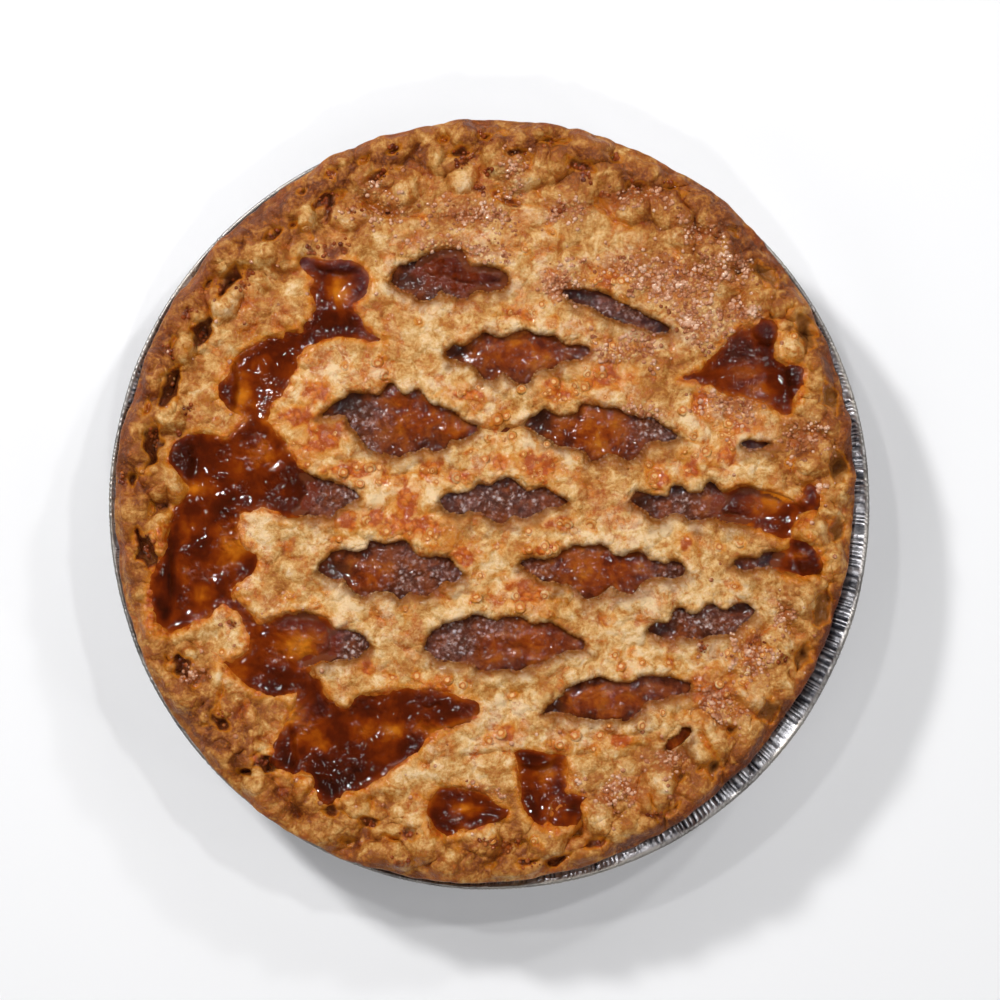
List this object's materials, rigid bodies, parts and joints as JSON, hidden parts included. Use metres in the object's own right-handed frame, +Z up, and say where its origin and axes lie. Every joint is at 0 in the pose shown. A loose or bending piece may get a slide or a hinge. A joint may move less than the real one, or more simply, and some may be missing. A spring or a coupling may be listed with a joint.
{
  "type": "lattice apple pie",
  "caption": "Baked lattice apple pie with a crimped edge and syrup set over the strands, in its fluted foil pan.",
  "frame": {"origin": "middle of the foil pan's underside, on the surface that the pie stands on", "axes": "+Z up along the pan's axis; the lattice's openings run along X, and the largest syrup spill is on the -X side"},
  "size_m": [0.2022, 0.2042, 0.038],
  "materials": {
    "crust": "baked pastry, matt to satin",
    "filling": "cooked apple in syrup, wet",
    "syrup": "set syrup, glossy",
    "foil": "bright rolled foil"
  },
  "bodies": {
    "root": {"foil_pan": "foil", "crust": "crust", "filling": "filling", "syrup_left": "syrup", "syrup_back": "syrup", "syrup_right_back": "syrup", "syrup_right": "syrup", "syrup_right_front": "syrup", "syrup_front_left": "syrup", "syrup_front": "syrup"}
  },
  "joints": []
}
